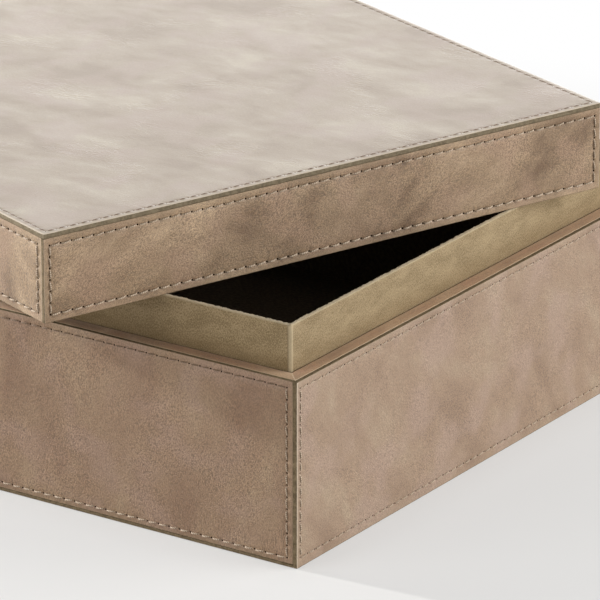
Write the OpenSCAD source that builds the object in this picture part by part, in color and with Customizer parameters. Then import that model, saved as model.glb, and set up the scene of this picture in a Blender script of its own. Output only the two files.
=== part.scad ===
// Stationery box: a rigid tray covered with stitched leather panels, a suede
// collar standing up inside it, and a lift-off lid that lies askew on the collar.
// Origin: centre of the underside. X runs along the length, Z is up.

/* [Box] */
// Outside length of the tray and of the lid
box_len = 330; // [260:1:400]
// Outside width of the tray and of the lid
box_wid = 240; // [180:1:300]
// Height of the tray, from its underside to its ledge
tray_h = 69; // [45:1:120]

/* [Leather] */
// Thickness of the stitched side panels
panel_t = 1.7; // [1:0.1:3]
// Thickness of the sheet on top of the lid
top_leather_t = 1.8; // [1:0.1:3]
// Thickness of the thin strips that close the board edges
strip_t = 1; // [0.6:0.1:1.5]
// Thickness of the cover under the tray
under_cover_t = 1.2; // [0.8:0.1:2]

/* [Tray boards] */
// Thickness of the four wall boards, which is also the width of the ledge
wall_board_t = 5.6; // [4:0.1:9]
// Thickness of the bottom board
bottom_board_t = 5; // [3:0.1:8]

/* [Collar] */
// Height of the collar above the ledge
collar_rise = 17.1; // [10:0.1:22]
// Thickness of the board inside the collar
collar_board_t = 0.9; // [0.6:0.1:2]
// Thickness of the suede on each face of the collar
suede_t = 0.5; // [0.4:0.1:1]
// How far the suede reaches down behind the ledge
suede_tuck = 16; // [6:1:30]
// How far the suede is turned down inside the collar
suede_turn_in = 8; // [4:0.5:12]
// Radius of the suede round the collar's upright corners
suede_corner_r = 1.1; // [0.6:0.1:1.5]

/* [Lining] */
// Thickness of the lining inside the tray
wall_lining_t = 0.5; // [0.3:0.1:1]
// Thickness of the lined card that lies on the bottom board
floor_lining_t = 1.5; // [0.8:0.1:4]
// Thickness of the lining inside the lid
lid_lining_t = 0.6; // [0.4:0.1:1.2]

/* [Lid] */
// Gap between the collar and the lining of the closed lid's sides
lid_side_gap = 0.6; // [0.3:0.1:1.5]
// Gap between the collar and the lining over it in the closed lid
lid_head_gap = 9; // [1:0.5:30]
// Thickness of the board under the lid's top sheet
top_board_t = 4; // [2.5:0.1:6]
// How far the lid is turned clockwise, seen from above
lid_turn = 20.4; // [0:0.1:25]
// How far the lid's centre lies towards the right end
lid_shift_x = -25.2; // [-30:0.1:5]
// How far the lid's centre lies towards the back
lid_shift_y = 11; // [-10:0.1:20]

/* [Hidden] */

// How far a cut runs past the face that it opens
cut = 1;

// Angle of each side about the upright axis, anticlockwise from the front
front_angle = 0;
right_angle = 90;
back_angle = 180;
left_angle = 270;

// Heights in the tray
floor_z = under_cover_t + bottom_board_t;
board_top_z = tray_h - strip_t;
collar_top_z = tray_h + collar_rise;
collar_board_top_z = collar_top_z - suede_t;
suede_foot_z = tray_h - suede_tuck;
lining_top_z = collar_board_top_z - suede_turn_in;

// Depths inwards from the outside of the tray
ledge_end = panel_t + wall_board_t;
collar_board_start = ledge_end + suede_t;
collar_board_end = collar_board_start + collar_board_t;
collar_end = collar_board_end + suede_t;
wall_lining_end = collar_board_end + wall_lining_t;

// Heights in the lid, above the lower edge of its sides
top_lining_z = collar_rise + lid_head_gap;
top_board_z = top_lining_z + lid_lining_t;
skirt_h = top_board_z + top_board_t;

// Depths inwards from the outside of the lid
skirt_end = ledge_end - lid_side_gap;
skirt_board_end = skirt_end - lid_lining_t;
skirt_board_t = skirt_board_end - panel_t;

// Colours
leather_colour = [0.62, 0.54, 0.46];
ledge_colour = [0.52, 0.42, 0.34];
suede_colour = [0.56, 0.51, 0.39];
board_colour = [0.70, 0.62, 0.50];
lining_colour = [0.10, 0.09, 0.08];
cover_colour = [0.35, 0.31, 0.26];

// Whether a side is one of the two ends
function is_end(side) = side % 180 == 90;

// Length of a side at a depth inwards from the outside of the box
function side_run(side, depth) = (is_end(side) ? box_wid : box_len) - 2 * depth;

// Distance from the centre to a side at a depth inwards from the outside
function side_reach(side, depth) = (is_end(side) ? box_len : box_wid) / 2 - depth;

// Turns what is drawn at the front to another side
module at_side(side) rotate([0, 0, side]) children();

// A flat panel along one side, square at its ends
module panel(side, depth, thickness, run, z, height) {
    at_side(side)
        translate([-run / 2, -side_reach(side, depth), z])
            cube([run, thickness, height]);
}

// A strip along one side, mitred at both ends where it meets its neighbours
module mitred_strip(side, depth, thickness, z, height) {
    outer = side_run(side, depth) / 2;
    inner = outer - thickness;
    reach = side_reach(side, depth);
    at_side(side)
        translate([0, 0, z])
            linear_extrude(height)
                polygon([
                    [-outer, -reach], [outer, -reach],
                    [inner, thickness - reach], [-inner, thickness - reach]
                ]);
}

// A flat sheet over the whole plan, drawn in by the same depth on every side
module sheet(depth, z, thickness) {
    translate([-side_run(front_angle, depth) / 2, -side_run(right_angle, depth) / 2, z])
        cube([side_run(front_angle, depth), side_run(right_angle, depth), thickness]);
}

// Run of a panel: the end pieces cover the ends of the front and back pieces
function butt_run(side, depth, end_t) =
    side_run(side, depth) - (is_end(side) ? 0 : 2 * end_t);

// Cover glued under the tray, between the two end panels
module under_cover() {
    color(cover_colour)
        translate([-side_run(front_angle, panel_t) / 2, -side_reach(front_angle, 0), 0])
            cube([side_run(front_angle, panel_t), side_run(right_angle, 0), under_cover_t]);
}

// Bottom board, on the cover and inside all four leather panels
module bottom_board() {
    color(board_colour)
        sheet(panel_t, under_cover_t, bottom_board_t);
}

// One wall board of the tray
module wall_board(side) {
    color(board_colour)
        panel(side, panel_t, wall_board_t, butt_run(side, panel_t, wall_board_t),
            floor_z, board_top_z - floor_z);
}

// One leather panel of the tray: the end panels reach down to the table
module wall_leather(side) {
    foot = is_end(side) ? 0 : under_cover_t;
    color(leather_colour)
        panel(side, 0, panel_t, butt_run(side, 0, panel_t), foot, tray_h - foot);
}

// One strip of the ledge, on top of a wall board
module ledge_strip(side) {
    color(ledge_colour)
        mitred_strip(side, panel_t, wall_board_t, board_top_z, strip_t);
}

// One board of the collar, standing on the bottom board
module collar_board(side) {
    color(board_colour)
        panel(side, collar_board_start, collar_board_t,
            butt_run(side, collar_board_start, collar_board_t),
            floor_z, collar_board_top_z - floor_z);
}

// Upright block over the whole plan at a depth, its corners rounded
module rounded_block(depth, z, height, radius) {
    reach_x = side_reach(right_angle, depth) - radius;
    reach_y = side_reach(front_angle, depth) - radius;
    translate([-reach_x, -reach_y - radius, z])
        cube([2 * reach_x, 2 * (reach_y + radius), height]);
    translate([-reach_x - radius, -reach_y, z])
        cube([2 * (reach_x + radius), 2 * reach_y, height]);
    for (x = [-reach_x, reach_x], y = [-reach_y, reach_y])
        translate([x, y, z])
            cylinder(h = height, r = radius, $fn = 32);
}

// Suede wrapped round the collar: up the outside, over the rim and down inside
module collar_suede() {
    color(suede_colour)
        union() {
            difference() {
                rounded_block(ledge_end, suede_foot_z, collar_top_z - suede_foot_z,
                    suede_corner_r);
                sheet(collar_board_start, suede_foot_z - cut,
                    collar_board_top_z - suede_foot_z + cut);
                sheet(collar_end, suede_foot_z, collar_top_z - suede_foot_z + cut);
            }
            difference() {
                sheet(collar_board_end, lining_top_z, suede_turn_in);
                sheet(collar_end, lining_top_z - cut, suede_turn_in + 2 * cut);
            }
        }
}

// One lining panel of the tray, below the turned-in suede
module wall_lining(side) {
    color(lining_colour)
        mitred_strip(side, collar_board_end, wall_lining_t,
            floor_z, lining_top_z - floor_z);
}

// Lined card on the bottom board
module floor_lining() {
    color(lining_colour)
        sheet(wall_lining_end, floor_z, floor_lining_t);
}

// Puts what is drawn in the lid's own frame where the lid lies
module at_lid() {
    translate([lid_shift_x, lid_shift_y, collar_top_z])
        rotate([0, 0, -lid_turn])
            children();
}

// Leather sheet over the top of the lid, its cut edge showing on all sides
module lid_top_leather() {
    color(leather_colour)
        at_lid() sheet(0, skirt_h, top_leather_t);
}

// Board under the top sheet, inside the leather panels
module lid_top_board() {
    color(board_colour)
        at_lid() sheet(panel_t, top_board_z, top_board_t);
}

// Lining under the top board, inside the side boards
module lid_top_lining() {
    color(lining_colour)
        at_lid() sheet(skirt_board_end, top_lining_z, lid_lining_t);
}

// One leather panel of the lid's sides
module lid_leather(side) {
    color(leather_colour)
        at_lid() panel(side, 0, panel_t, butt_run(side, 0, panel_t), 0, skirt_h);
}

// One board inside the lid's sides
module lid_board(side) {
    color(board_colour)
        at_lid()
            panel(side, panel_t, skirt_board_t, butt_run(side, panel_t, skirt_board_t),
                strip_t, top_board_z - strip_t);
}

// One strip that closes the lower edge of a side board and its lining
module lid_rim(side) {
    color(ledge_colour)
        at_lid() mitred_strip(side, panel_t, skirt_end - panel_t, 0, strip_t);
}

// One lining panel inside the lid's sides
module lid_lining(side) {
    color(lining_colour)
        at_lid()
            mitred_strip(side, skirt_board_end, lid_lining_t,
                strip_t, top_lining_z - strip_t);
}

under_cover();
bottom_board();
wall_board(front_angle);  // front_board
wall_board(right_angle);  // right_board
wall_board(back_angle);  // back_board
wall_board(left_angle);  // left_board
wall_leather(front_angle);  // front_leather
wall_leather(right_angle);  // right_leather
wall_leather(back_angle);  // back_leather
wall_leather(left_angle);  // left_leather
ledge_strip(front_angle);  // front_ledge
ledge_strip(right_angle);  // right_ledge
ledge_strip(back_angle);  // back_ledge
ledge_strip(left_angle);  // left_ledge
collar_board(front_angle);  // collar_front_board
collar_board(right_angle);  // collar_right_board
collar_board(back_angle);  // collar_back_board
collar_board(left_angle);  // collar_left_board
collar_suede();
wall_lining(front_angle);  // front_lining
wall_lining(right_angle);  // right_lining
wall_lining(back_angle);  // back_lining
wall_lining(left_angle);  // left_lining
floor_lining();
lid_top_leather();
lid_top_board();
lid_top_lining();
lid_leather(front_angle);  // lid_front_leather
lid_leather(right_angle);  // lid_right_leather
lid_leather(back_angle);  // lid_back_leather
lid_leather(left_angle);  // lid_left_leather
lid_board(front_angle);  // lid_front_board
lid_board(right_angle);  // lid_right_board
lid_board(back_angle);  // lid_back_board
lid_board(left_angle);  // lid_left_board
lid_rim(front_angle);  // lid_front_rim
lid_rim(right_angle);  // lid_right_rim
lid_rim(back_angle);  // lid_back_rim
lid_rim(left_angle);  // lid_left_rim
lid_lining(front_angle);  // lid_front_lining
lid_lining(right_angle);  // lid_right_lining
lid_lining(back_angle);  // lid_back_lining
lid_lining(left_angle);  // lid_left_lining
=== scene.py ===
import math
from collections import namedtuple

import bpy
import numpy as np
from mathutils import Matrix, Vector, noise


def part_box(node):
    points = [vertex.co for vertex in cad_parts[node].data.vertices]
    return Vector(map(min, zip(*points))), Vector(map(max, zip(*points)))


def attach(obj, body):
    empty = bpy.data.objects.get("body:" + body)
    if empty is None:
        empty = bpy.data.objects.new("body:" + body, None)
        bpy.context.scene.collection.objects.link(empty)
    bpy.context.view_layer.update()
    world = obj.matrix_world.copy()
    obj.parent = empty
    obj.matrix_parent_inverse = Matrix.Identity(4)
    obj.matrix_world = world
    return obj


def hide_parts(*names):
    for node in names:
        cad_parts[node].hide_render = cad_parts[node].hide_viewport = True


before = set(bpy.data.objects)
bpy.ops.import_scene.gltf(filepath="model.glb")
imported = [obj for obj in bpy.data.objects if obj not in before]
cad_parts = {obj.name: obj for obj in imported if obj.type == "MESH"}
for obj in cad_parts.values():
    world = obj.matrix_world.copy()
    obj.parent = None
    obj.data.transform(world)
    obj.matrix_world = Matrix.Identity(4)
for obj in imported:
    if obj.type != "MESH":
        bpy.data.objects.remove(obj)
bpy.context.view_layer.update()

MM = 0.001

# The camera, worked out from the edge lines of the tray, the collar and the lid
FRAME_PIXELS = 600
FOCAL_PIXELS = 6118
SENSOR_WIDTH = 36
VIEW_AZIMUTH = math.radians(34.13)
VIEW_ELEVATION = math.radians(20.58)
VIEW_DISTANCE = 2.105
VIEW_REACH = 20
NEAR_CORNER_PIXEL = (296.9, 569.7)

# How far the lid is turned clockwise on the tray, seen from above
LID_TURN = math.radians(20.4)

# Angle in degrees of each side about the upright axis, anticlockwise from the front
SIDE_TURNS = {"front": 0, "right": 90, "back": 180, "left": 270}

# Above this angle two faces of a mesh meet in a sharp edge
SHARP_ANGLE = math.radians(50)

# Material slots of a stitched panel, and of a strip
LEATHER, CUT_EDGE, HOLE = 0, 1, 2
WORN_END = 2

# Stitching: half of the square that holds a needle hole, and the thread
STITCH_PITCH = 4.55 * MM
CELL_HALF = 0.8 * MM
HOLE_SIDES = 8
THREAD_RADIUS = 0.25 * MM
THREAD_SIDES = 6

# Stations of a stitch: share of its way, height and sideways slant in millimetres, share of thickness
THREAD_STATIONS = ((0.09, -0.75, -0.10, 0.8), (0.13, -0.32, -0.13, 0.9), (0.19, 0.00, -0.14, 1.0),
                   (0.32, 0.12, -0.08, 1.1), (0.47, 0.15, 0.00, 1.15), (0.62, 0.12, 0.08, 1.1),
                   (0.75, 0.00, 0.14, 1.0), (0.84, -0.32, 0.13, 0.9), (0.91, -0.75, 0.10, 0.8))

# How far a face sinks along its stitches, how wide that is, and how far it bulges between them
GROOVE = 0.17 * MM
GROOVE_REACH = 0.75 * MM

# One kind of stitched panel. Its rows of stitches lie so many millimetres from the left, right, lower and
# upper edge. Its lower, right, upper and left row rise from 0, sunk, to 1, raised, and its thread is
# painted in step from dark, as painted shade, to pale, as painted light.
PanelStyle = namedtuple("PanelStyle", "rows proud groove needle arris low_arris rubbed")

TRAY_LONG = PanelStyle(rows=(2.6, 2.6, 2.2, 2.75), proud=(0.9, 0.85, 0.0, 0.9), groove=0.7 * GROOVE,
                       needle=0.32 * MM, arris=0.3 * MM, low_arris=0.55 * MM, rubbed=False)
TRAY_END = PanelStyle(rows=(2.3, 2.3, 3.7, 2.75), proud=(0.7, 0.7, 0.7, 0.9), groove=0.4 * GROOVE,
                      needle=0.29 * MM, arris=0.3 * MM, low_arris=0.55 * MM, rubbed=False)
LID_SIDE = PanelStyle(rows=(2.6, 2.6, 2.8, 2.8), proud=(1.0, 0.9, 0.85, 0.9), groove=GROOVE,
                      needle=0.36 * MM, arris=0.3 * MM, low_arris=0.3 * MM, rubbed=False)
LID_TOP = PanelStyle(rows=(2.45, 2.45, 2.45, 2.45), proud=(0.0, 0.0, 0.0, 0.0), groove=0.15 * GROOVE,
                     needle=0.2 * MM, arris=0.42 * MM, low_arris=0.42 * MM, rubbed=True)

# Added to the distance from an upper or lower edge whose arris is kept free of the pale colour, which is
# part wear and part painted highlight
UNLIT_EDGE_SHIFT = 0.7 * MM

# Plain sheets: the widest space between lines of their grid, and their arris
SHEET_SPACING = 7 * MM
SHEET_ARRIS = 0.35 * MM

# Strips: their inner arris is dark and wider than the outer one, a dark cut edge that also serves as
# painted shade where the ledge meets the collar's foot
INNER_ARRIS = 0.6 * MM
OUTER_ARRIS = 0.28 * MM
STRIP_SPACING = 6 * MM

# Radius round the suede collar's upright corners and over its rim
COLLAR_CORNER = 1.1 * MM
COLLAR_RIM = 0.5 * MM

# Where each group of pieces was cut from the hide: its sides count on from its number
SEEDS = {"tray_leather": 1.0, "lid_leather": 5.0, "lid_top_leather": 9.0, "strips": 11.0, "linings": 21.0,
         "floor_lining": 26.0, "lid_top_lining": 27.0, "under_cover": 28.0}

# How bright the room is to a matt surface
ROOM_LIGHT = 0.16

# Name, place, aim, width and height in metres, and power in watts
LAMPS = (
    ("right_window", (1.45, 0.9, 0.85), (0, 0, 0.05), (1.4, 1.2), 24),
    ("right_low", (1.7, 0.4, 0.35), (0, 0, 0.05), (1.4, 0.6), 13),
    ("left_fill", (-0.9, -1.75, 0.65), (0, 0, 0.05), (1.4, 1.0), 22),
    ("back_window", (-1.3, 1.9, 0.55), (0, 0, 0.1), (2.4, 0.9), 20),
    ("small_left", (-2.0, -0.30, 0.70), (0.16, -0.12, 0.03), (0.06, 0.06), 60),
)

# The table glows by this share near the box, and turns white further off
FLOOR_HALF = 6.0
FLOOR_COLOUR = (209, 207, 203)
FLOOR_GLOW = 0.5
FLOOR_NEAR = 0.26
FLOOR_FAR = 0.42
# Right beside the box it glows less, over this distance
CONTACT_SHARE = 0.88
CONTACT_REACH = 0.02


Face = namedtuple("Face", "basis origin width height depth")


def turn_about_z(angle):
    return np.array(Matrix.Rotation(angle, 3, "Z"))


# How the sides of each body are turned in the shared frame
BODY_TURNS = {"tray": turn_about_z(0.0), "lid": turn_about_z(-LID_TURN)}


def directions(across, up, out):
    return np.array([across, up, out], float).T


# Directions across, up and out of a face of the front side, as seen from in front of that face
OUTWARD = directions((1, 0, 0), (0, 0, 1), (0, -1, 0))
INWARD = directions((-1, 0, 0), (0, 0, 1), (0, 1, 0))
UPWARD = directions((1, 0, 0), (0, 1, 0), (0, 0, 1))
DOWNWARD = directions((-1, 0, 0), (0, 1, 0), (0, 0, -1))


def node_points(node):
    """Every corner of a CAD node, in the shared frame."""
    return np.array([v.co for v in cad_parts[node].data.vertices], float)


def face_of(node, body, side_turn=0.0, pose=OUTWARD):
    """One face of a CAD node: its directions, its lower left corner and its sizes."""
    basis = BODY_TURNS[body] @ turn_about_z(math.radians(side_turn)) @ pose
    points = node_points(node) @ basis
    low, high = points.min(0), points.max(0)
    origin = basis @ np.array([low[0], low[1], high[2]])
    width, height, depth = high - low
    return Face(basis, origin, width, height, depth)


def add_mesh(name, points, faces, slots, materials, hide, rim, seam=None):
    """Adds a mesh whose points know their place on the hide, distance to an edge and nearness to a seam."""
    mesh = bpy.data.meshes.new(name)
    mesh.from_pydata(np.asarray(points).tolist(), [], faces)
    mesh.polygons.foreach_set("material_index", slots)
    mesh.polygons.foreach_set("use_smooth", [True] * len(faces))
    for material in materials:
        mesh.materials.append(material)
    place = mesh.attributes.new("hide", "FLOAT_VECTOR", "POINT")
    place.data.foreach_set("vector", hide.astype(np.float32).ravel())
    edge = mesh.attributes.new("rim", "FLOAT", "POINT")
    edge.data.foreach_set("value", rim.astype(np.float32))
    if seam is not None:
        row = mesh.attributes.new("seam", "FLOAT", "POINT")
        row.data.foreach_set("value", seam.astype(np.float32))
    mesh.set_sharp_from_angle(angle=SHARP_ANGLE)
    mesh.update()
    piece = bpy.data.objects.new(name, mesh)
    bpy.context.scene.collection.objects.link(piece)
    return piece


def on_face(face, points):
    """Points given across, up and out of a face, in the shared frame."""
    return points @ face.basis.T + face.origin


def dress(piece, body, nodes):
    """Hands a piece to its body, in place of the CAD nodes that it stands for."""
    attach(piece, body)
    if nodes:
        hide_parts(*nodes)
    return piece


def hide_places(points, seed):
    """Coordinates of a piece on the hide that it was cut from: turned and moved by its seed."""
    angle = 0.35 + 1.3 * math.sin(2.1 * seed)
    turned = points @ turn_about_z(angle)
    return turned + np.array([0.73 * seed, 0.41 * seed, 0.0])


def tube_faces(rings, sides, closed=False):
    """Faces round a tube whose rings run anticlockwise about its direction of travel."""
    faces = []
    for r in range(rings if closed else rings - 1):
        here, there = r * sides, (r + 1) % rings * sides
        for k in range(sides):
            n = (k + 1) % sides
            faces.append([here + k, here + n, there + n, there + k])
    if not closed:
        last = (rings - 1) * sides
        faces.append(list(range(sides))[::-1])
        faces.append(list(range(last, last + sides)))
    return faces


def quarter(radius, turns):
    """How far in from both faces the points of a rounded edge lie."""
    return [(radius * (1 - math.cos(t)), radius * (1 - math.sin(t))) for t in turns]


def even_lines(length, margin, spacing):
    """Evenly spaced lines across a sheet, between its two margins."""
    count = max(2, round((length - 2 * margin) / spacing))
    return [margin + (length - 2 * margin) * k / count for k in range(count + 1)]


class Sheet:
    """A sheet with a rounded arris: a grid over its face, its cut edge and its back."""

    # Waves to a metre of a face that is never quite flat, their share of its swell, and the
    # distance over which it falls towards its edges
    WAVES = 38
    UNEVEN = 0.55
    EDGE_FALL = 4 * MM
    # Turns of the arris in degrees, and reach and share of the depth of the rows behind it
    ARRIS_TURNS = (30, 55, 75, 90)
    EDGE_ROWS = ((0.95, 0.35), (1.0, 0.7), (0.9, 0.88), (0.45, 1.0))
    # Share of the arris that the sheet's corners reach, and that its rough edge takes off
    CORNER_REACH = 0.72
    ROUGHNESS = 0.10
    ROUGH_WAVES = 700

    def __init__(self, face, seed, arris, columns, levels, swell, rubbed=True):
        self.face = face
        self.seed = seed
        self.arris = arris
        self.low_arris = levels[0]
        self.rubbed = rubbed
        self.columns = columns
        self.levels = levels
        self.swell = swell
        self.points = []
        self.faces = []
        self.slots = []
        self.grid = {}

    def add_point(self, u, v, w):
        self.points.append((u, v, w))
        return len(self.points) - 1

    def add_face(self, corners, slot):
        self.faces.append(corners)
        self.slots.append(slot)

    def at(self, i, j):
        """The point where two lines of the grid cross."""
        if (i, j) not in self.grid:
            u, v = self.columns[i], self.levels[j]
            self.grid[i, j] = self.add_point(u, v, -self.fall(u, v))
        return self.grid[i, j]

    def fall(self, u, v):
        """How far the face lies below its highest: it falls towards its edges, and is never quite flat."""
        edge = min(u, self.face.width - u, v, self.face.height - v)
        place = Vector((u * self.WAVES + self.seed * 7.3, v * self.WAVES, self.seed * 3.1))
        wave = 0.5 + 0.5 * noise.noise(place)
        return self.swell * (math.exp(-edge / self.EDGE_FALL) + self.UNEVEN * wave)

    def make_plain_grid(self):
        """The face of a sheet with no stitching."""
        for i in range(len(self.columns) - 1):
            for j in range(len(self.levels) - 1):
                corners = [self.at(i, j), self.at(i + 1, j), self.at(i + 1, j + 1), self.at(i, j + 1)]
                self.add_face(corners, LEATHER)

    def make_edge(self):
        """The rounded arris, the cut edge and the back."""
        last_i, last_j = len(self.columns) - 1, len(self.levels) - 1
        loop = [(i, 0) for i in range(last_i)]
        loop += [(last_i, j) for j in range(last_j)]
        loop += [(last_i - i, last_j) for i in range(last_i)]
        loop += [(0, last_j - j) for j in range(last_j)]
        ring = [self.at(i, j) for i, j in loop]
        outward = [((i == last_i) - (i == 0), (j == last_j) - (j == 0)) for i, j in loop]
        starts = [self.points[k] for k in ring]
        rough = [noise.noise(Vector(p) * self.ROUGH_WAVES) for p in starts]
        ragged = [self.ROUGHNESS * self.arris * (1 + r) for r in rough]
        depth = self.face.depth
        # Reach outwards, fall and material of each row, from the arris to the back
        # A sheet whose arris has the pale colour, part wear and part painted highlight, keeps leather on
        # one more row of that arris
        skin_rows = 2 if self.rubbed else 1
        slots = [LEATHER] * skin_rows + [CUT_EDGE] * (len(self.ARRIS_TURNS) - skin_rows)
        turns = np.radians(self.ARRIS_TURNS)
        rows = [(math.sin(t), self.arris * (1 - math.cos(t)), slot) for t, slot in zip(turns, slots)]
        rows += [(out, self.arris + (depth - self.arris) * share, CUT_EDGE)
                 for out, share in self.EDGE_ROWS]
        for reach, down, slot in rows:
            fade = max(0.0, 1 - down / self.arris)
            outer = []
            for (u, v, w), (du, dv), lost in zip(starts, outward, ragged):
                corner = self.CORNER_REACH if du and dv else 1.0
                out = (self.arris * reach - lost * min(1.0, down / self.arris)) * corner
                tall = self.low_arris / self.arris if dv < 0 else 1.0
                outer.append(self.add_point(u + du * out, v + dv * out * tall, w * fade - down))
            for k in range(len(ring)):
                n = (k + 1) % len(ring)
                self.add_face([outer[k], outer[n], ring[n], ring[k]], slot)
            ring = outer
        self.add_face(ring[::-1], CUT_EDGE)

    def seam(self, points):
        """How close each point is to a row of stitches, of which a plain sheet has none."""
        return None

    def make_piece(self, name, materials):
        """The finished sheet, whose points know their distance to an edge with a pale arris, part wear and
        part painted highlight.
        """
        points = np.array(self.points)
        width, height = self.face.width, self.face.height
        across = np.minimum(points[:, 0], width - points[:, 0])
        up = np.minimum(points[:, 1], height - points[:, 1])
        if not self.rubbed:
            up = up + UNLIT_EDGE_SHIFT
        rim = np.clip(np.minimum(across, up), 0, None)
        hide = hide_places(points, self.seed)
        placed = on_face(self.face, points)
        return add_mesh(name, placed, self.faces, self.slots, materials, hide, rim, self.seam(points))


def stitch_lines(length, first_row, last_row, margin, low_margin):
    """Lines across a stitched panel, four spaces to a stitch, and where its needle holes lie."""
    run = length - first_row - last_row
    count = max(2, round(run / STITCH_PITCH))
    step = run / count
    lines = [low_margin]
    holes = [first_row + k * step for k in range(count + 1)]
    for hole in holes:
        lines += [hole - CELL_HALF, hole, hole + CELL_HALF, hole + step / 2]
    lines[-1] = length - margin
    return lines, holes


class StitchedPanel(Sheet):
    """A leather panel with a row of needle holes along each edge."""

    # Share of the needle's radius, and depth, of each ring round a hole
    HOLE_RINGS = ((1.0, 0.12 * MM), (0.85, 0.4 * MM), (0.6, 0.95 * MM))

    def __init__(self, face, style, seed):
        self.style = style
        self.rows = [r * MM for r in style.rows]
        left, right, low, high = self.rows
        columns, self.hole_us = stitch_lines(face.width, left, right, style.arris, style.arris)
        levels, self.hole_vs = stitch_lines(face.height, low, high, style.arris, style.low_arris)
        super().__init__(face, seed, style.arris, columns, levels, style.groove, style.rubbed)
        self.make_cells()
        self.make_edge()

    def row_distance(self, u, v):
        """How far a point of the face is from the nearest row of stitches."""
        left, right, low, high = self.rows
        right, high = self.face.width - right, self.face.height - high
        across = min(abs(u - left), abs(u - right))
        up = min(abs(v - low), abs(v - high))
        outside = max(left - u, u - right, low - v, v - high, 0.0)
        return outside if outside > 0.0 else min(across, up)

    def seam(self, points):
        rows = np.array([self.row_distance(u, v) for u, v, w in points])
        return np.clip(1 - rows / CELL_HALF, 0, 1) * self.style.groove / GROOVE

    def fall(self, u, v):
        """The face also sinks along the rows of stitches, where the thread draws it in."""
        row = self.row_distance(u, v)
        return super().fall(u, v) + self.style.groove * math.exp(-(row / GROOVE_REACH) ** 2)

    def make_cells(self):
        """One cell to a stitch: those of the outer ring hold a needle hole each."""
        last_a, last_b = len(self.hole_us) - 1, len(self.hole_vs) - 1
        for a in range(last_a + 1):
            for b in range(last_b + 1):
                if a in (0, last_a) or b in (0, last_b):
                    self.make_stitched_cell(4 * a, 4 * b)
                else:
                    self.make_plain_cell(a, b)

    def make_plain_cell(self, a, b):
        """One face, with every point that its stitched neighbours have on the shared edges."""
        i, j = 4 * a, 4 * b
        step_low = 1 if b == 1 else 4
        step_right = 1 if a == len(self.hole_us) - 2 else 4
        step_high = 1 if b == len(self.hole_vs) - 2 else 4
        step_left = 1 if a == 1 else 4
        corners = [self.at(i + k, j) for k in range(0, 4, step_low)]
        corners += [self.at(i + 4, j + k) for k in range(0, 4, step_right)]
        corners += [self.at(i + 4 - k, j + 4) for k in range(0, 4, step_high)]
        corners += [self.at(i, j + 4 - k) for k in range(0, 4, step_left)]
        self.add_face(corners, LEATHER)

    def make_stitched_cell(self, i, j):
        """A ring of small faces round a needle hole."""
        for p in range(i, i + 4):
            for q in range(j, j + 4):
                if p - i in (1, 2) and q - j in (1, 2):
                    continue
                corners = [self.at(p, q), self.at(p + 1, q), self.at(p + 1, q + 1), self.at(p, q + 1)]
                self.add_face(corners, LEATHER)
        self.make_hole(i + 2, j + 2)

    def make_hole(self, i, j):
        """A needle hole: eight sides, narrowing as it goes in."""
        around = [(1, 0), (1, 1), (0, 1), (-1, 1), (-1, 0), (-1, -1), (0, -1), (1, -1)]
        u, v = self.columns[i], self.levels[j]
        top = -self.fall(u, v)
        outer = [self.at(i + a, j + b) for a, b in around]
        for index, (share, drop) in enumerate(self.HOLE_RINGS):
            reach = self.style.needle * share
            inner = []
            for k in range(HOLE_SIDES):
                angle = k * 2 * math.pi / HOLE_SIDES
                du, dv = reach * math.cos(angle), reach * math.sin(angle)
                inner.append(self.add_point(u + du, v + dv, top - drop))
            for k in range(HOLE_SIDES):
                n = (k + 1) % HOLE_SIDES
                self.add_face([outer[k], outer[n], inner[n], inner[k]], LEATHER if index == 0 else HOLE)
            outer = inner
        self.add_face(outer, HOLE)

    def hole_loop(self):
        """The needle holes, in order round the panel, and which of its four rows each starts."""
        us, vs = self.hole_us, self.hole_vs
        loop = [(u, vs[0], 0) for u in us[:-1]]
        loop += [(us[-1], v, 1) for v in vs[:-1]]
        loop += [(u, vs[-1], 2) for u in us[:0:-1]]
        loop += [(us[0], v, 3) for v in vs[:0:-1]]
        loop = np.array(loop)
        return loop[:, :2], loop[:, 2].astype(int)


def add_thread(name, panel, material):
    """The stitches of one panel: a short arched length of thread from each hole to the next.

    A row that rises is also painted paler, as painted light, and a sunk one darker, as painted shade.
    """
    starts, row = panel.hole_loop()
    stand_and_light = np.array(panel.style.proud)[row][:, None]
    runs = np.roll(starts, -1, axis=0) - starts
    lengths = np.linalg.norm(runs, axis=1)[:, None]
    along = runs / lengths
    aside = np.stack([-along[:, 1], along[:, 0]], 1)
    uneven = 1 + 0.35 * np.sin(np.arange(len(starts)) * 2.4 + panel.seed)[:, None]
    index = np.arange(len(starts))[:, None]
    points, twist = [], []
    for share, lift, slant, thick in THREAD_STATIONS:
        centre = starts + along * lengths * share + aside * (slant * MM) * uneven
        for k in range(THREAD_SIDES):
            angle = k * 2 * math.pi / THREAD_SIDES
            reach = THREAD_RADIUS * thick
            place = centre + aside * (reach * math.cos(angle))
            level = (lift - 0.2 * (1 - stand_and_light)) * MM + reach * math.sin(angle)
            points.append(np.hstack([place, level]))
            twist.append(np.hstack([lengths * share, index * 0.37 + k / THREAD_SIDES, stand_and_light]))
    points = np.stack(points, 1).reshape(-1, 3)
    twist = np.stack(twist, 1).reshape(-1, 3)
    one = tube_faces(len(THREAD_STATIONS), THREAD_SIDES)
    size = len(THREAD_STATIONS) * THREAD_SIDES
    faces = [[s * size + k for k in corners] for s in range(len(starts)) for corners in one]
    placed = on_face(panel.face, points)
    return add_mesh(name, placed, faces, [0] * len(faces), [material], twist, np.zeros(len(points)))


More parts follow.
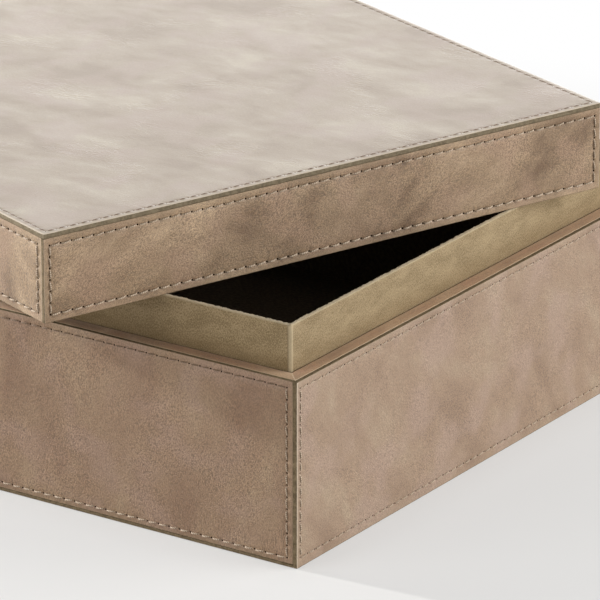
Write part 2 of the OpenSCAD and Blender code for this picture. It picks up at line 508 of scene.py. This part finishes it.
def add_strip(name, face, seed, materials):
    """A narrow strip, mitred at both ends: its face and arrises, its cut edges, its worn mitres."""
    width, deep = face.height, face.depth
    turns = np.radians((0, 30, 60, 90))
    # Across and out, anticlockwise from the lower outer corner, with the material of each stretch
    ring = [(0.0, -deep), (width, -deep)]
    ring += [(width - a, -b) for a, b in quarter(INNER_ARRIS, turns)]
    ring += [(width * share, 0.0) for share in (0.8, 0.5, 0.2)]
    ring += [(a, -b) for a, b in quarter(OUTER_ARRIS, turns[::-1])]
    slots = [CUT_EDGE] * 5 + [LEATHER] * (len(ring) - 7) + [CUT_EDGE] * 2
    across = np.array([v for v, w in ring])
    out = np.array([w for v, w in ring])

    def section(u, fall):
        """The points round the strip, those of its face sunk by the fall."""
        return np.stack([u, across, out - np.where(out > -deep, fall, 0.0)], 1)

    # Distance from the mitre and fall of the sections near it
    ends = ((0.0, 0.08 * MM), (0.12 * MM, 0.03 * MM), (0.3 * MM, 0.01 * MM),
            (0.5 * MM, 0.0), (0.8 * MM, 0.0), (1.2 * MM, 0.0))
    left = [section(across + distance, fall) for distance, fall in ends]
    right = [section(face.width - across - distance, fall) for distance, fall in ends[::-1]]
    count = max(2, round((face.width - 2 * width) / STRIP_SPACING))
    first, last = left[-1][:, 0], right[0][:, 0]
    middle = []
    for k in range(1, count):
        u = first + (last - first) * k / count
        waves = np.array([noise.noise(Vector((x * 60, seed, 0))) for x in u])
        middle.append(section(u, 0.04 * MM * (1 - waves)))
    rows = left + middle + right
    # Distance of each section from its mitre, which is no matter in the middle
    reach = [distance for distance, fall in ends]
    reach = reach + [face.width] * len(middle) + reach[::-1]
    points = np.concatenate(rows)
    edge = np.minimum(points[:, 1], width - points[:, 1])
    rim = np.minimum(np.repeat(reach, len(ring)), np.clip(edge, 0, None))
    pale_edge = (0, 1, len(rows) - 3, len(rows) - 2)
    faces_slots = []
    for r in range(len(rows) - 1):
        faces_slots += [WORN_END if r in pale_edge and slot == LEATHER else slot for slot in slots]
    faces_slots += [CUT_EDGE, CUT_EDGE]
    faces = tube_faces(len(rows), len(ring))
    placed = on_face(face, points)
    return add_mesh(name, placed, faces, faces_slots, materials, hide_places(points, seed), rim)


class Collar:
    """The suede wrapped round the collar, swept round the tray with a fuzzy rim."""

    # Steps round each corner, space between columns of points along a side, and least inner radius
    CORNER_STEPS = 8
    SPACING = 0.5 * MM
    LEAST_RADIUS = 0.06 * MM
    # Drops below the top of the points down the inner and the outer face, in millimetres
    INNER_DROPS = (5, 2)
    OUTER_DROPS = (0.9, 1.4, 2, 3, 4.5, 6.5, 9, 12, 15, 17.5)
    # How far down the rim is fuzzy, and how far down the suede is seen
    FUZZY = 1.6 * MM
    SHOWN = 18 * MM
    # How far from the rim each point of a corner counts as lying, so that the rim's pale colour runs all
    # the way down each rounded corner as a painted highlight
    RUBBED = 0.15 * MM

    def __init__(self):
        low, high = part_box("collar_suede")
        board_low, board_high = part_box("collar_front_board")
        lining_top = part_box("front_lining")[1][2]
        self.top = high[2]
        self.board_top = board_high[2]
        self.skin = board_low[1] - low[1]
        self.inside = board_high[1] - low[1]
        self.full = self.inside + self.skin
        self.reach = np.array([high[0], high[1]]) - COLLAR_CORNER
        self.ring = self.section(low[2], lining_top)
        self.depth = np.array([d for d, z in self.ring])
        self.level = np.array([z for d, z in self.ring])

    def section(self, foot, lining_top):
        """Depth behind the outer face and height, anticlockwise from the foot."""
        skin, inside, full = self.skin, self.inside, self.full
        top, board_top = self.top, self.board_top
        turns = np.radians((0, 22, 45, 68, 90))
        ring = [(0.0, foot), (skin, foot), (skin, board_top), (inside, board_top), (inside, lining_top)]
        ring += [(full, lining_top)]
        ring += [(full, top - drop * MM) for drop in self.INNER_DROPS]
        ring += [(full - a, top - b) for a, b in quarter(COLLAR_RIM, turns)]
        ring += [(full / 2, top)]
        ring += [(a, top - b) for a, b in quarter(COLLAR_RIM, turns[::-1])]
        ring += [(0.0, top - drop * MM) for drop in self.OUTER_DROPS]
        return ring

    def columns(self):
        """Centre, outward direction, corner if any, and distance along, for each column of points."""
        columns = []
        travelled = 0.0
        corners = [(1, -1, -90), (1, 1, 0), (-1, 1, 90), (-1, -1, 180)]
        centres = [np.array([sx, sy]) * self.reach for sx, sy, first in corners]
        step = math.pi / 2 / self.CORNER_STEPS
        for index, (sx, sy, first) in enumerate(corners):
            centre = centres[index]
            for k in range(self.CORNER_STEPS + 1):
                angle = math.radians(first) + k * step
                columns.append((centre, np.array([math.cos(angle), math.sin(angle)]), (sx, sy), travelled))
                travelled += COLLAR_CORNER * step
            target = centres[(index + 1) % len(corners)]
            run = np.linalg.norm(target - centre)
            count = round(run / self.SPACING)
            out = columns[-1][1]
            for k in range(1, count):
                place = centre + (target - centre) * k / count
                columns.append((place, out, None, travelled + run * k / count))
            travelled += run
        return columns

    def plan(self, centre, out, corner):
        """Where the points of one column lie, seen from above."""
        radius = COLLAR_CORNER - self.depth
        place = np.tile(centre, (len(self.ring), 1))
        if corner is None:
            return place + np.outer(radius, out)
        round_radius = np.maximum(radius, self.LEAST_RADIUS)
        place = place + np.outer(radius - round_radius, corner)
        return place + np.outer(round_radius, out)

    def waves(self, distance, scale, depth_scale):
        """Soft noise at the points of one column."""
        places = [Vector((distance * scale, z * scale, d * depth_scale)) for d, z in self.ring]
        return np.array([noise.noise(place) for place in places])

    def make_piece(self, name, material):
        depth, level, top = self.depth, self.level, self.top
        steps = np.hypot(np.diff(depth), np.diff(level))
        along_ring = np.concatenate([[0.0], np.cumsum(steps)])
        near_rim = np.clip(1 - (top - level) / self.FUZZY, 0, 1)
        outside = (depth < self.skin) | (depth > self.inside) | (level > self.board_top + 0.1 * MM)
        shown = (level > top - self.SHOWN) & outside
        side = np.where(depth > self.full / 2, -1.0, 1.0)
        rings, hides, rims = [], [], []
        for centre, out, corner, distance in self.columns():
            fuzz = self.waves(distance, 1500, 900) * (0.04 + 0.22 * near_rim) * MM * shown
            broad = (self.waves(distance, 120, 100) - 0.6) * 0.06 * MM * shown
            place = self.plan(centre, out, corner) + np.outer((fuzz + broad) * side, out)
            lift = level + np.where(near_rim > 0.6, fuzz * 0.9 - 0.1 * MM, 0.0)
            rings.append(np.column_stack([place, lift]))
            hides.append(np.column_stack([np.full(len(depth), distance), along_ring, depth * 0]))
            rims.append(np.clip(top - level, 0, None if corner is None else self.RUBBED))
        faces = tube_faces(len(rings), len(self.ring), closed=True)
        return add_mesh(name, np.concatenate(rings), faces, [0] * len(faces), [material],
                        np.concatenate(hides), np.concatenate(rims))


def set_view():
    """The photograph's camera: a long lens, its place fixed by the tray's near corner."""
    right = Vector((math.cos(VIEW_AZIMUTH), math.sin(VIEW_AZIMUTH), 0))
    level = Vector((-math.sin(VIEW_AZIMUTH), math.cos(VIEW_AZIMUTH), 0))
    forward = level * math.cos(VIEW_ELEVATION) - Vector((0, 0, math.sin(VIEW_ELEVATION)))
    up = level * math.sin(VIEW_ELEVATION) + Vector((0, 0, math.cos(VIEW_ELEVATION)))
    corner = Vector(face_of("right_leather", "tray", SIDE_TURNS["right"]).origin)
    shift_x = (NEAR_CORNER_PIXEL[0] - FRAME_PIXELS / 2) * VIEW_DISTANCE / FOCAL_PIXELS
    shift_y = (NEAR_CORNER_PIXEL[1] - FRAME_PIXELS / 2) * VIEW_DISTANCE / FOCAL_PIXELS
    place = corner - forward * VIEW_DISTANCE - right * shift_x + up * shift_y
    data = bpy.data.cameras.new("view")
    data.sensor_width = SENSOR_WIDTH
    data.lens = data.sensor_width * FOCAL_PIXELS / FRAME_PIXELS
    data.clip_end = VIEW_REACH
    camera = bpy.data.objects.new("view", data)
    turned = Matrix((right, up, -forward)).transposed().to_4x4()
    camera.matrix_world = Matrix.Translation(place) @ turned
    bpy.context.scene.collection.objects.link(camera)
    bpy.context.scene.camera = camera


def add_lamp(name, place, aim, size, power):
    """A soft rectangular lamp, turned to what it lights."""
    data = bpy.data.lights.new(name, "AREA")
    data.shape = "RECTANGLE"
    data.size, data.size_y = size
    data.energy = power
    lamp = bpy.data.objects.new(name, data)
    lamp.location = place
    lamp.rotation_euler = (Vector(aim) - Vector(place)).to_track_quat("-Z", "Y").to_euler()
    bpy.context.scene.collection.objects.link(lamp)


def add_world():
    """A grey room for the light, which looks white to the eye and in reflections."""
    world = bpy.data.worlds.new("studio")
    bpy.context.scene.world = world
    world.use_nodes = True
    tree = world.node_tree
    tree.nodes.clear()
    output = tree.nodes.new("ShaderNodeOutputWorld")
    back = tree.nodes.new("ShaderNodeBackground")
    back.inputs["Color"].default_value = (1, 1, 1, 1)
    path = tree.nodes.new("ShaderNodeLightPath")
    seen = path.outputs["Is Camera Ray"]
    for ray in ("Is Glossy Ray", "Is Transmission Ray"):
        either = tree.nodes.new("ShaderNodeMath")
        either.operation = "MAXIMUM"
        tree.links.new(seen, either.inputs[0])
        tree.links.new(path.outputs[ray], either.inputs[1])
        seen = either.outputs[0]
    strength = tree.nodes.new("ShaderNodeMapRange")
    strength.inputs["To Min"].default_value = ROOM_LIGHT
    strength.inputs["To Max"].default_value = 1.0
    tree.links.new(seen, strength.inputs["Value"])
    tree.links.new(strength.outputs[0], back.inputs["Strength"])
    tree.links.new(back.outputs[0], output.inputs["Surface"])


def add_light():
    add_world()
    for name, place, aim, size, power in LAMPS:
        add_lamp(name, place, aim, size, power)
    bpy.context.scene.view_settings.view_transform = "Standard"


def add_floor():
    """A pale table, which keeps the box's shadow and turns white further off."""
    mesh = bpy.data.meshes.new("floor")
    corners = [(sx * FLOOR_HALF, sy * FLOOR_HALF, 0) for sx, sy in ((-1, -1), (1, -1), (1, 1), (-1, 1))]
    mesh.from_pydata(corners, [], [(0, 1, 2, 3)])
    floor = bpy.data.objects.new("floor", mesh)
    bpy.context.scene.collection.objects.link(floor)
    paint = Paint("floor")
    paint.set(Base_Color=rgba(FLOOR_COLOUR), Roughness=0.7, Specular_IOR_Level=0.2)
    place = paint.node("TexCoord").outputs["Object"]
    far = paint.vector("LENGTH", place, output="Value")
    share = paint.remap(far, FLOOR_NEAR, FLOOR_FAR, FLOOR_GLOW, 1.0)
    # Less of it close to the box, where the table keeps its own shade
    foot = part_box("under_cover")[1]
    beside = paint.vector("SUBTRACT", paint.vector("ABSOLUTE", place), (foot[0], foot[1], 0))
    gap = paint.vector("LENGTH", paint.vector("MAXIMUM", beside), output="Value")
    share = paint.math("MULTIPLY", share, paint.remap(gap, 0.0, CONTACT_REACH, CONTACT_SHARE, 1.0))
    rays = paint.node("LightPath")
    seen = paint.math("MAXIMUM", rays.outputs["Is Camera Ray"], rays.outputs["Is Transmission Ray"])
    share = paint.math("MULTIPLY", share, seen)
    glow = paint.node("Emission", {"Color": (1, 1, 1, 1), "Strength": 1.0}).outputs[0]
    both = paint.node("MixShader", {0: share, 1: paint.shader.outputs[0], 2: glow}).outputs[0]
    paint.tree.links.new(both, paint.output.inputs["Surface"])
    mesh.materials.append(paint.material)


def linear(colour):
    """A colour given as 0 to 255 display values, as linear light."""
    shares = [c / 255 for c in colour]
    return [s / 12.92 if s <= 0.04045 else ((s + 0.055) / 1.055) ** 2.4 for s in shares]


def rgba(colour):
    """A colour for a socket, or the socket itself."""
    if isinstance(colour, bpy.types.NodeSocket):
        return colour
    return (*linear(colour), 1.0)


class Paint:
    """Builds the node tree of one material."""

    def __init__(self, name):
        self.material = bpy.data.materials.new(name)
        self.material.use_nodes = True
        self.tree = self.material.node_tree
        self.tree.nodes.clear()
        self.output = self.tree.nodes.new("ShaderNodeOutputMaterial")
        self.shader = self.tree.nodes.new("ShaderNodeBsdfPrincipled")
        self.tree.links.new(self.shader.outputs[0], self.output.inputs["Surface"])

    def feed(self, socket, value):
        if isinstance(value, bpy.types.NodeSocket):
            self.tree.links.new(value, socket)
        else:
            socket.default_value = value

    def node(self, kind, inputs=None, **settings):
        node = self.tree.nodes.new("ShaderNode" + kind)
        for key, value in settings.items():
            setattr(node, key, value)
        for key, value in (inputs or {}).items():
            self.feed(node.inputs[key], value)
        return node

    def set(self, **values):
        """Sets the shader's own sockets, with _ for the spaces in their names."""
        for key, value in values.items():
            self.feed(self.shader.inputs[key.replace("_", " ")], value)

    def place(self):
        """Where a point lies on the hide or cloth that its piece was cut from."""
        return self.node("Attribute", attribute_name="hide").outputs["Vector"]

    def edge_distance(self):
        return self.node("Attribute", attribute_name="rim").outputs["Fac"]

    def seam(self):
        return self.node("Attribute", attribute_name="seam").outputs["Fac"]

    def object_place(self):
        return self.node("TexCoord").outputs["Object"]

    def stretch(self, vector, scale, angle=0.0, offset=(0, 0, 0)):
        inputs = {"Vector": vector, "Scale": scale, "Rotation": (0, 0, angle), "Location": offset}
        return self.node("Mapping", inputs).outputs[0]

    def clouds(self, vector, scale, detail, rough, distortion=0.0):
        """Soft noise, so many patches to a metre, with finer layers of a given strength."""
        inputs = {"Vector": vector, "Scale": scale, "Detail": detail,
                  "Roughness": rough, "Distortion": distortion}
        return self.node("TexNoise", inputs).outputs["Fac"]

    def cells(self, vector, scale):
        return self.node("TexVoronoi", {"Vector": vector, "Scale": scale}).outputs["Distance"]

    def warp(self, vector, scale, reach):
        """A place moved about by soft clouds, so that no pattern runs straight."""
        inputs = {"Vector": vector, "Scale": scale, "Detail": 2.0}
        drift = self.node("TexNoise", inputs).outputs["Color"]
        drift = self.vector("SUBTRACT", drift, (0.5, 0.5, 0.5))
        drift = self.node("VectorMath", {0: drift, "Scale": reach}, operation="SCALE").outputs[0]
        return self.vector("ADD", vector, drift)

    def math(self, operation, a, b=0.0):
        node = self.node("Math", operation=operation)
        self.feed(node.inputs[0], a)
        self.feed(node.inputs[1], b)
        return node.outputs[0]

    def vector(self, operation, a, b=(0, 0, 0), output=0):
        return self.node("VectorMath", {0: a, 1: b}, operation=operation).outputs[output]

    def blend(self, share, a, b):
        """Two grey values, the second taking the given share."""
        first = self.math("MULTIPLY", a, 1 - share)
        return self.math("ADD", first, self.math("MULTIPLY", b, share))

    def remap(self, value, low, high, to_low=0.0, to_high=1.0, smooth=True):
        inputs = {"Value": value, "From Min": low, "From Max": high, "To Min": to_low, "To Max": to_high}
        kind = "SMOOTHSTEP" if smooth else "LINEAR"
        return self.node("MapRange", inputs, interpolation_type=kind).outputs[0]

    def mix(self, share, a, b, blend="MIX"):
        node = self.node("Mix", data_type="RGBA", blend_type=blend)
        self.feed(node.inputs[0], share)
        self.feed(node.inputs[6], rgba(a))
        self.feed(node.inputs[7], rgba(b))
        return node.outputs[2]

    def shade(self, colour, factor):
        """A colour made darker or lighter by a grey factor."""
        grey = self.node("CombineColor", {0: factor, 1: factor, 2: factor}).outputs[0]
        return self.mix(1.0, colour, grey, "MULTIPLY")

    def bump(self, height, strength, distance, normal=None):
        inputs = {"Height": height, "Strength": strength, "Distance": distance}
        if normal is not None:
            inputs["Normal"] = normal
        return self.node("Bump", inputs).outputs[0]


def leather_material(name, dark, middle, light, rosy, pale_edge, reach=0.5 * MM, depth=1.0, sheen=0.45):
    """Soft nubuck with a cloudy pull-up finish, fine drawn grain, faint wrinkles, paler arrises that are
    part wear and part painted highlight, and painted shade along the stitches.
    """
    paint = Paint(name)
    hide = paint.place()
    warped = paint.warp(hide, 20.0, 0.02)
    broad = paint.clouds(paint.stretch(warped, (1.0, 1.6, 1.0)), 26.0, 2.0, 0.5)
    patches = paint.clouds(paint.stretch(warped, (1.0, 2.0, 1.0), 0.6), 80.0, 3.0, 0.55)
    tone = paint.blend(0.35, broad, patches)
    colour = paint.mix(paint.remap(tone, 0.34, 0.52), dark, middle)
    colour = paint.mix(paint.remap(tone, 0.49, 0.68), colour, light)
    blush = paint.clouds(paint.stretch(warped, (1.3, 1.0, 1.0), 1.1, (3, 1, 0)), 40.0, 2.0, 0.5)
    colour = paint.mix(paint.remap(blush, 0.45, 0.65, 0.0, 0.7), colour, rosy)
    # Thin drawn wrinkles, gathered in a few places
    folds = paint.clouds(paint.stretch(warped, (1.0, 3.2, 1.0), 0.4), 150.0, 2.0, 0.5, 0.5)
    crest = paint.math("ABSOLUTE", paint.math("SUBTRACT", folds, 0.5))
    crest = paint.remap(crest, 0.0, 0.05, 1.0, 0.0)
    where = paint.remap(paint.clouds(warped, 34.0, 1.0, 0.5), 0.52, 0.68)
    crest = paint.math("MULTIPLY", crest, where)
    # Fine grain, drawn out along the hide, and stronger in some places
    pebbles = paint.math("SUBTRACT", 1.0, paint.cells(paint.warp(hide, 500.0, 0.0012), 1900.0))
    drawn = paint.clouds(paint.stretch(warped, (1.0, 2.4, 1.0), 0.4), 1200.0, 1.0, 0.6, 0.3)
    grain = paint.blend(0.7, pebbles, drawn)
    strength = paint.remap(paint.clouds(warped, 45.0, 1.0, 0.5, 0.5), 0.38, 0.6, 0.6, 1.0)
    speckle = paint.remap(grain, 0.33, 0.65, -0.25 * depth, 0.25 * depth, False)
    speckle = paint.math("ADD", paint.math("MULTIPLY", speckle, strength), 1.0)
    speckle = paint.math("MULTIPLY", speckle, paint.remap(crest, 0.0, 1.0, 1.0, 1.07, False))
    # Painted shade along the stitches, darker where the thread draws the face in
    seam = paint.seam()
    groove_shade = paint.remap(seam, 0.3, 0.8, 1.0, 0.92)
    colour = paint.shade(colour, paint.math("MULTIPLY", speckle, groove_shade))
    # Paler outside the stitches, and paler along the arris: part wear, part painted highlight
    edge = paint.edge_distance()
    colour = paint.mix(paint.remap(edge, 1.4 * MM, 3.0 * MM, 0.25, 0.0), colour, light)
    colour = paint.mix(paint.remap(edge, 0.05 * MM, reach, 0.8, 0.0), colour, pale_edge)
    normal = paint.bump(crest, 0.3, 0.15 * MM)
    normal = paint.bump(paint.math("MULTIPLY", seam, seam), 0.5, -0.2 * MM, normal)
    normal = paint.bump(grain, 0.6, 0.22 * MM * depth, normal)
    paint.set(Base_Color=colour, Normal=normal)
    paint.set(Roughness=paint.remap(tone, 0.35, 0.65, 0.60, 0.50))
    paint.set(Specular_IOR_Level=0.45, Sheen_Weight=sheen, Sheen_Roughness=0.35)
    return paint.material


def cut_edge_material(name, dark, light, shine=0.25):
    """The raw, dyed edge of a leather panel: matt, with faint layers along it."""
    paint = Paint(name)
    hide = paint.place()
    layers = paint.clouds(paint.stretch(hide, (1.0, 1.0, 4.0)), 320.0, 3.0, 0.6)
    fibres = paint.clouds(hide, 1000.0, 3.0, 0.7)
    tone = paint.blend(0.6, layers, fibres)
    colour = paint.mix(paint.remap(tone, 0.38, 0.62), dark, light)
    paint.set(Base_Color=colour, Normal=paint.bump(tone, 0.5, 0.15 * MM), Roughness=0.75)
    paint.set(Specular_IOR_Level=shine)
    return paint.material


def hole_material(name):
    """The inside of a needle hole: its cut fibres, painted very dark as painted shade."""
    paint = Paint(name)
    fibres = paint.clouds(paint.place(), 2600.0, 3.0, 0.7)
    colour = paint.mix(paint.remap(fibres, 0.3, 0.7), (36, 16, 8), (58, 32, 19))
    paint.set(Base_Color=colour, Normal=paint.bump(fibres, 0.4, 0.05 * MM), Roughness=0.9)
    paint.set(Specular_IOR_Level=0.0)
    return paint.material


def worn_material(name, dark, light):
    """The rubbed, pale end of a strip where two of them meet."""
    paint = Paint(name)
    tone = paint.clouds(paint.place(), 1500.0, 3.0, 0.6)
    colour = paint.mix(paint.remap(tone, 0.35, 0.65), dark, light)
    paint.set(Base_Color=colour, Normal=paint.bump(tone, 0.4, 0.1 * MM), Roughness=0.7)
    return paint.material


def thread_material(name, dark, light, rubbed):
    """Waxed thread with a twist along it, painted paler, as painted light, where its row rises, and darker,
    as painted shade, where it sinks.
    """
    paint = Paint(name)
    parts = paint.node("SeparateXYZ", {0: paint.place()})
    along = paint.math("MULTIPLY", parts.outputs[0], 1400.0)
    lay = paint.math("FRACT", paint.math("ADD", along, parts.outputs[1]))
    strand = paint.math("SINE", paint.math("MULTIPLY", lay, math.pi))
    fuzz = paint.clouds(paint.place(), 1900.0, 2.0, 0.6)
    tone = paint.blend(0.35, strand, fuzz)
    colour = paint.mix(parts.outputs[2], light, rubbed)
    colour = paint.mix(paint.remap(tone, 0.1, 0.8), dark, colour)
    paint.set(Base_Color=colour, Normal=paint.bump(strand, 0.6, 0.08 * MM), Roughness=0.6)
    paint.set(Specular_IOR_Level=0.35, Sheen_Weight=0.3, Sheen_Roughness=0.4)
    return paint.material


def suede_material(name, dark, light, rubbed, foot):
    """Olive suede: a soft nap that is brushed lighter and darker in patches."""
    paint = Paint(name)
    hide = paint.place()
    nap = paint.clouds(paint.stretch(hide, (1.0, 2.0, 1.0), 0.5), 90.0, 3.0, 0.55, 0.4)
    fuzz = paint.clouds(paint.stretch(hide, (1.5, 1.0, 1.0), 0.3), 1500.0, 2.0, 0.7)
    fibres = paint.clouds(hide, 3000.0, 2.0, 0.7)
    tone = paint.blend(0.78, nap, paint.blend(0.3, fuzz, fibres))
    colour = paint.mix(paint.remap(tone, 0.41, 0.59), dark, light)
    # Painted shade darker towards the foot, and pale along the rim: part wear, and a painted highlight down
    # the corners
    edge = paint.edge_distance()
    colour = paint.mix(paint.remap(edge, 8 * MM, 17 * MM, 0.0, 0.45), colour, foot)
    colour = paint.mix(paint.remap(edge, 0.05 * MM, 0.55 * MM, 0.75, 0.0), colour, rubbed)
    height = paint.blend(0.4, fuzz, fibres)
    paint.set(Base_Color=colour, Normal=paint.bump(height, 0.85, 0.5 * MM), Roughness=0.95)
    paint.set(Specular_IOR_Level=0.1, Sheen_Weight=0.35, Sheen_Roughness=0.5)
    paint.shader.inputs["Sheen Tint"].default_value = (1.0, 0.94, 0.80, 1.0)
    return paint.material


def fabric_material(name, dark, light):
    """A close dark weave with a little lint."""
    paint = Paint(name)
    where = paint.place()
    parts = paint.node("SeparateXYZ", {0: where})
    turns = [paint.math("MULTIPLY", part, 2 * math.pi / (0.5 * MM)) for part in parts.outputs]
    waves = [paint.math("SINE", turn) for turn in turns]
    weave = paint.math("MULTIPLY", paint.math("ADD", waves[0], 0.3), paint.math("ADD", waves[1], waves[2]))
    lint = paint.clouds(where, 700.0, 4.0, 0.7)
    height = paint.math("ADD", paint.math("MULTIPLY", weave, 0.2), lint)
    colour = paint.mix(paint.remap(lint, 0.35, 0.7), dark, light)
    paint.set(Base_Color=colour, Normal=paint.bump(height, 0.4, 0.12 * MM), Roughness=0.9)
    paint.set(Specular_IOR_Level=0.2)
    return paint.material


def board_material(name):
    """Pressed fibreboard."""
    paint = Paint(name)
    where = paint.object_place()
    fibres = paint.clouds(paint.stretch(where, (1.0, 1.0, 5.0)), 600.0, 5.0, 0.7)
    flecks = paint.cells(where, 900.0)
    tone = paint.blend(0.3, fibres, flecks)
    colour = paint.mix(paint.remap(tone, 0.3, 0.6), (150, 124, 94), (190, 164, 130))
    paint.set(Base_Color=colour, Normal=paint.bump(tone, 0.4, 0.2 * MM), Roughness=0.85)
    return paint.material


# One hide, coloured apart for each set of faces as each looks under its own light, so in part painted
# light: the lid top's copy is greyer and flatter, standing in for the pale sheen across it. Each as its
# darkest, middle, lightest, rosiest and pale edge colour, the last part wear and part painted highlight
LONG_SKIN = leather_material("long_leather",
                             (130, 102, 79), (141, 114, 89), (152, 127, 100), (149, 122, 103),
                             pale_edge=(158, 136, 111), depth=1.5)
END_SKIN = leather_material("end_leather",
                            (136, 112, 91), (148, 124, 102), (159, 138, 115), (157, 133, 116),
                            pale_edge=(210, 194, 172), reach=0.9 * MM, depth=1.15)
SKIRT_SKIN = leather_material("skirt_leather",
                              (110, 86, 62), (140, 116, 89), (167, 142, 113), (148, 121, 97),
                              pale_edge=(196, 178, 156), depth=1.6)
TOP_SKIN = leather_material("top_leather",
                            (128, 108, 84), (139, 120, 95), (151, 134, 108), (142, 120, 101),
                            pale_edge=(214, 198, 176), reach=1.3 * MM, depth=0.4)
STRIP_SKIN = leather_material("strip_leather",
                              (144, 108, 72), (164, 127, 89), (188, 154, 117), (168, 122, 86),
                              pale_edge=(206, 182, 152), sheen=0.35)
EDGE = cut_edge_material("cut_edge", (88, 74, 52), (120, 104, 78))
# The lid top's cut edge: the same dyed edge, painted lighter for the light it catches
TOP_EDGE = cut_edge_material("top_cut_edge", (100, 88, 68), (126, 113, 91))
# The strips' cut edge, very dark: partly painted shade in the line at the collar's foot
STRIP_EDGE = cut_edge_material("strip_edge", (66, 40, 6), (102, 68, 22), 0.0)
NEEDLE_HOLE = hole_material("needle_hole")
WORN_MITRE = worn_material("worn_mitre", (190, 164, 134), (220, 198, 168))
# The thread's dark colours are painted shade for thread sunk in its groove, and its pale one, taken by rows
# that rise, is painted light
THREAD = thread_material("thread", (94, 74, 56), (122, 100, 79), (210, 190, 166))
# The suede's pale colour is part wear and part painted highlight; its last colour is painted shade for the
# foot
SUEDE = suede_material("suede", (125, 106, 75), (169, 148, 114), (200, 182, 150), (114, 92, 58))
CLOTH = fabric_material("lining_cloth", (66, 54, 41), (94, 79, 61))
CLOTH_EDGE = cut_edge_material("lining_edge", (22, 18, 14), (40, 33, 27))
BOARD = board_material("board")


def add_stitched_panel(node, body, face, style, seed, skin, edge):
    """A stitched leather panel in place of its CAD node, and its thread."""
    panel = StitchedPanel(face, style, seed)
    piece = panel.make_piece(node + "_panel", [skin, edge, NEEDLE_HOLE])
    dress(piece, body, [node])
    thread = add_thread(node.replace("_leather", "_thread"), panel, THREAD)
    dress(thread, body, [])


def add_plain_sheet(node, body, seed, side_turn, pose, materials, shorter=0.0):
    """A sheet with no stitching, made shorter at both ends by its mitre."""
    face = face_of(node, body, side_turn, pose)
    origin = face.origin + face.basis @ np.array([shorter, 0, 0])
    face = face._replace(origin=origin, width=face.width - 2 * shorter)
    arris = min(SHEET_ARRIS, 0.4 * face.depth)
    columns = even_lines(face.width, arris, SHEET_SPACING)
    levels = even_lines(face.height, arris, SHEET_SPACING)
    sheet = Sheet(face, seed, arris, columns, levels, 0.1 * face.depth)
    sheet.make_plain_grid()
    sheet.make_edge()
    dress(sheet.make_piece(node + "_sheet", materials), body, [node])


def add_leather_panels():
    for index, (side, turn) in enumerate(SIDE_TURNS.items()):
        node = f"{side}_leather"
        face = face_of(node, "tray", turn)
        style, skin = (TRAY_END, END_SKIN) if side in ("right", "left") else (TRAY_LONG, LONG_SKIN)
        add_stitched_panel(node, "tray", face, style, SEEDS["tray_leather"] + index, skin, EDGE)
        node = f"lid_{side}_leather"
        face = face_of(node, "lid", turn)
        add_stitched_panel(node, "lid", face, LID_SIDE, SEEDS["lid_leather"] + index, SKIRT_SKIN, EDGE)
    node = "lid_top_leather"
    face = face_of(node, "lid", pose=UPWARD)
    add_stitched_panel(node, "lid", face, LID_TOP, SEEDS[node], TOP_SKIN, TOP_EDGE)


def add_strips():
    """The ledge round the collar's foot, and the strips over the lid's lower edges."""
    materials = [STRIP_SKIN, STRIP_EDGE, WORN_MITRE]
    for index, (side, turn) in enumerate(SIDE_TURNS.items()):
        for node, body, pose in ((f"{side}_ledge", "tray", UPWARD), (f"lid_{side}_rim", "lid", DOWNWARD)):
            face = face_of(node, body, turn, pose)
            strip = add_strip(node + "_strip", face, SEEDS["strips"] + index, materials)
            dress(strip, body, [node])


def add_linings():
    """The dark cloth inside the tray and the lid, whose upright sheets meet in mitres."""
    cloth = [CLOTH, CLOTH_EDGE]
    for index, (side, turn) in enumerate(SIDE_TURNS.items()):
        for node, body in ((f"{side}_lining", "tray"), (f"lid_{side}_lining", "lid")):
            depth = face_of(node, body, turn, INWARD).depth
            add_plain_sheet(node, body, SEEDS["linings"] + index, turn, INWARD, cloth, depth)
    for node, body, pose in (("floor_lining", "tray", UPWARD), ("lid_top_lining", "lid", DOWNWARD)):
        add_plain_sheet(node, body, SEEDS[node], 0, pose, cloth)


def add_cover():
    """The leather under the tray."""
    materials = [STRIP_SKIN, EDGE]
    add_plain_sheet("under_cover", "tray", SEEDS["under_cover"], 0, DOWNWARD, materials)


def finish_boards():
    """The boards keep the CAD's shapes."""
    for name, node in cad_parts.items():
        if name.endswith("board"):
            node.data.materials.clear()
            node.data.materials.append(BOARD)


set_view()
add_light()
add_floor()
finish_boards()
add_leather_panels()
add_strips()
collar = Collar().make_piece("collar_suede_wrap", SUEDE)
dress(collar, "tray", ["collar_suede"])
add_linings()
add_cover()
